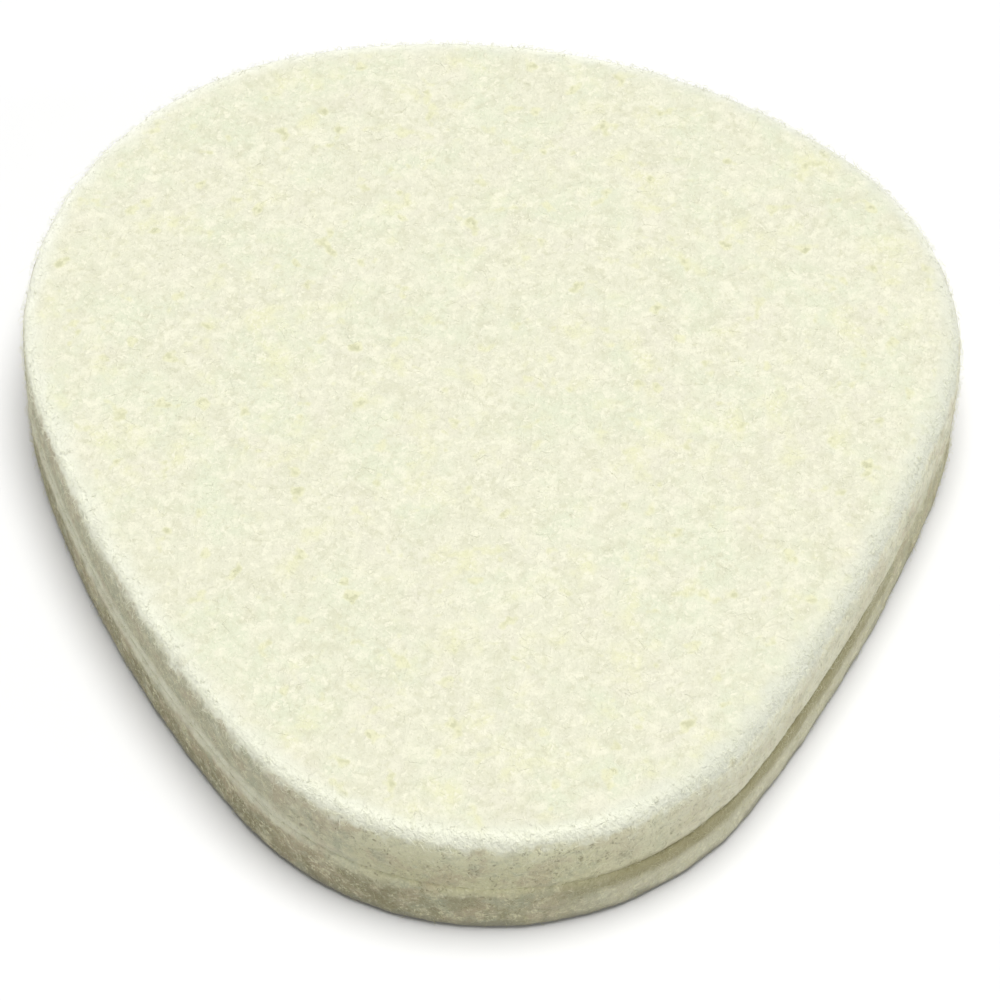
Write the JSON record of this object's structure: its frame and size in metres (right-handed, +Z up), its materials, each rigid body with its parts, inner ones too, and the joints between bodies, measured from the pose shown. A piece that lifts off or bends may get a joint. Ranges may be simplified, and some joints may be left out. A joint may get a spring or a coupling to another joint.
{
  "type": "metatarsal pad",
  "caption": "Flat rounded-triangle foot cushion of pressed wool felt in two bonded plies, worn under the ball of the foot inside a shoe.",
  "frame": {"origin": "middle of the pad's box, on the surface that its flat underside rests on", "axes": "+Z up through the thickness, +Y toward the toes and the wide end, -Y toward the heel and the narrow end, +X to the right seen from above with the toes ahead"},
  "size_m": [0.0602, 0.063, 0.0098],
  "materials": {
    "upper_felt": "cream pressed wool felt, matt and finely fibrous, with a paler brushed shoulder",
    "lower_felt": "cream pressed wool felt with a fuzzy cut edge"
  },
  "bodies": {
    "root": {"upper_felt": "upper_felt", "lower_felt": "lower_felt"}
  },
  "joints": []
}
